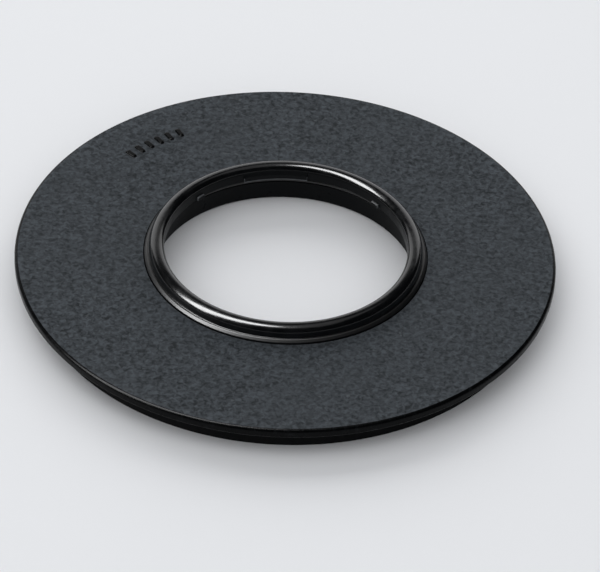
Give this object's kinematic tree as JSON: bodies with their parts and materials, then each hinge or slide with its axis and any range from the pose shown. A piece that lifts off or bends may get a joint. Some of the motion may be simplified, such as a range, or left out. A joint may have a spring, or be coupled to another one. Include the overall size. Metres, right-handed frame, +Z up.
{
  "type": "toilet floor flange",
  "caption": "Round plate on a thick gasket, with a swivelling collar that socket-joins a drain pipe to a toilet bowl's outlet.",
  "frame": {"origin": "on the floor, under the centre of the bore", "axes": "+Z up along the bore's axis; +Y towards the collar's locating key, the back of the flange"},
  "size_m": [0.184, 0.184, 0.0167],
  "materials": {
    "plate": "matt, fine moulded grain, polished rim",
    "gasket": "dull black rubber",
    "collar": "polished black",
    "ring": "satin black",
    "seal": "smooth black rubber"
  },
  "bodies": {
    "plate": {"flange_plate": "plate", "floor_gasket": "gasket"},
    "hub": {"collar": "collar", "retaining_ring": "ring", "pipe_seal": "seal"}
  },
  "joints": [
    {"name": "collar_swivel", "type": "hinge", "parent": "plate", "child": "hub", "pos_m": [0, 0, 0.0115], "axis": [0, 0, 1], "continuous": true}
  ]
}
